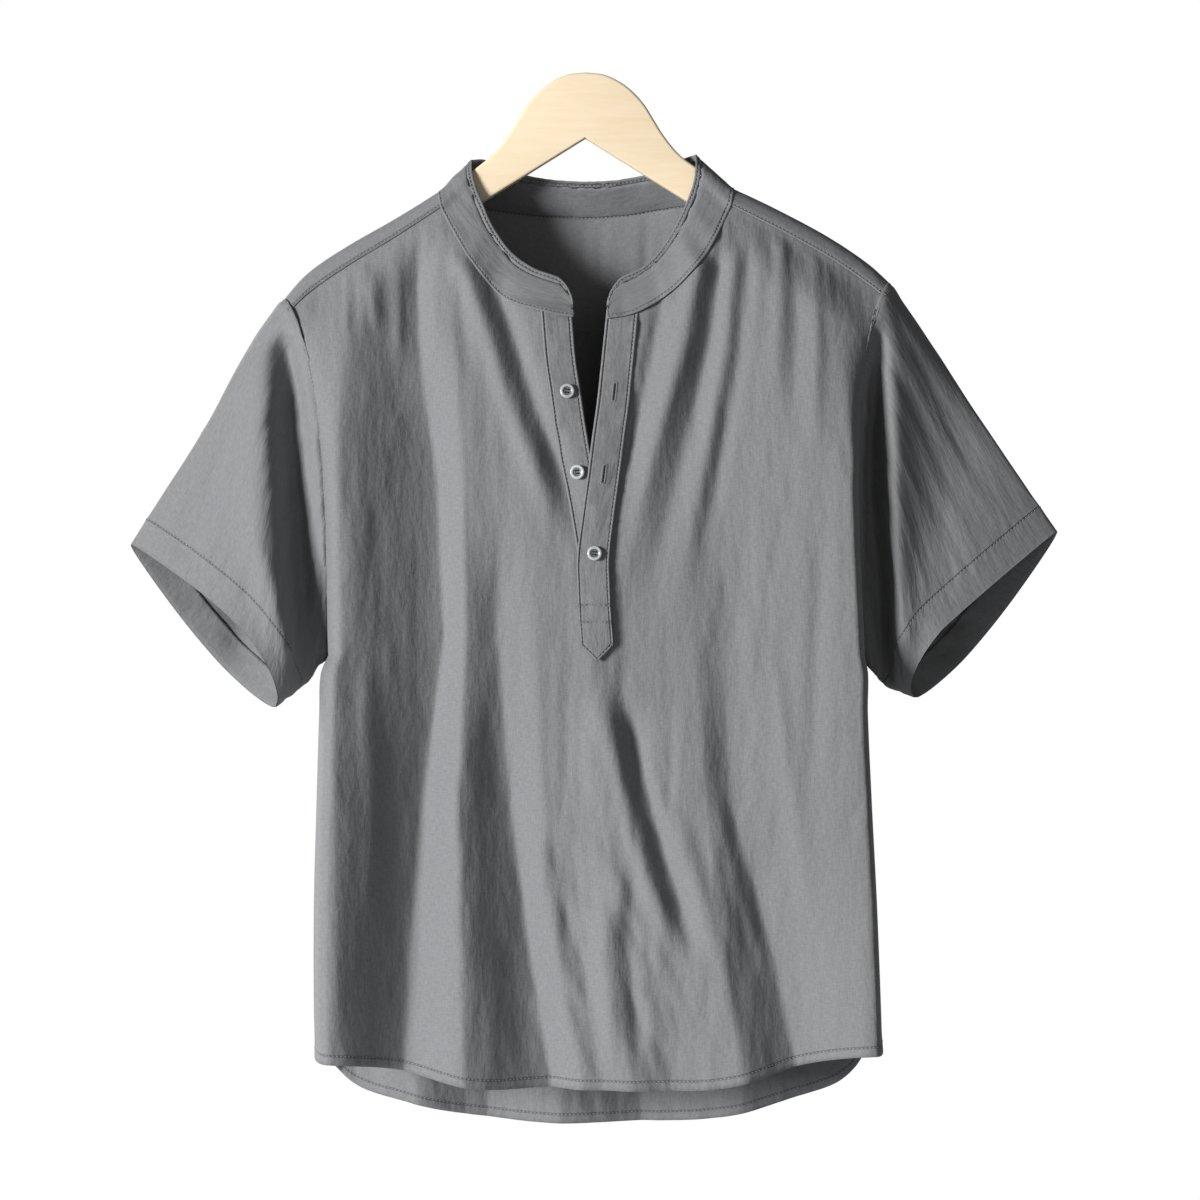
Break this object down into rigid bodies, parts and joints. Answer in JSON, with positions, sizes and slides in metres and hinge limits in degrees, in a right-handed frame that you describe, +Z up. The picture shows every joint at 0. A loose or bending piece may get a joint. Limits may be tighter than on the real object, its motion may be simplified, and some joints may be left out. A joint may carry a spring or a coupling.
{
  "type": "mandarin collar shirt on a wooden hanger",
  "caption": "Short-sleeved shirt with a band collar and a half-length button placket, hanging open at neck, hem and cuffs on a flat wooden hanger.",
  "frame": {"origin": "top of the hanger, where its hook screws in", "axes": "+Z up, the shirt's front faces -Y, +X to the right seen from the front"},
  "size_m": [0.7419, 0.1332, 0.8473],
  "materials": {
    "cloth": "matte woven linen-cotton, cool grey",
    "collar_cloth": "matte woven linen-cotton, interlined, cool grey",
    "buttons": "satin grey resin",
    "wood": "smooth pale wood, clear satin varnish"
  },
  "bodies": {
    "root": {"front_panel": "cloth", "back_panel": "cloth", "yoke": "cloth", "sleeve_left": "cloth", "sleeve_right": "cloth", "placket_button": "cloth", "placket_buttonhole": "cloth", "collar_band": "collar_cloth", "button_top": "buttons", "button_middle": "buttons", "button_bottom": "buttons", "hanger": "wood"}
  },
  "joints": []
}
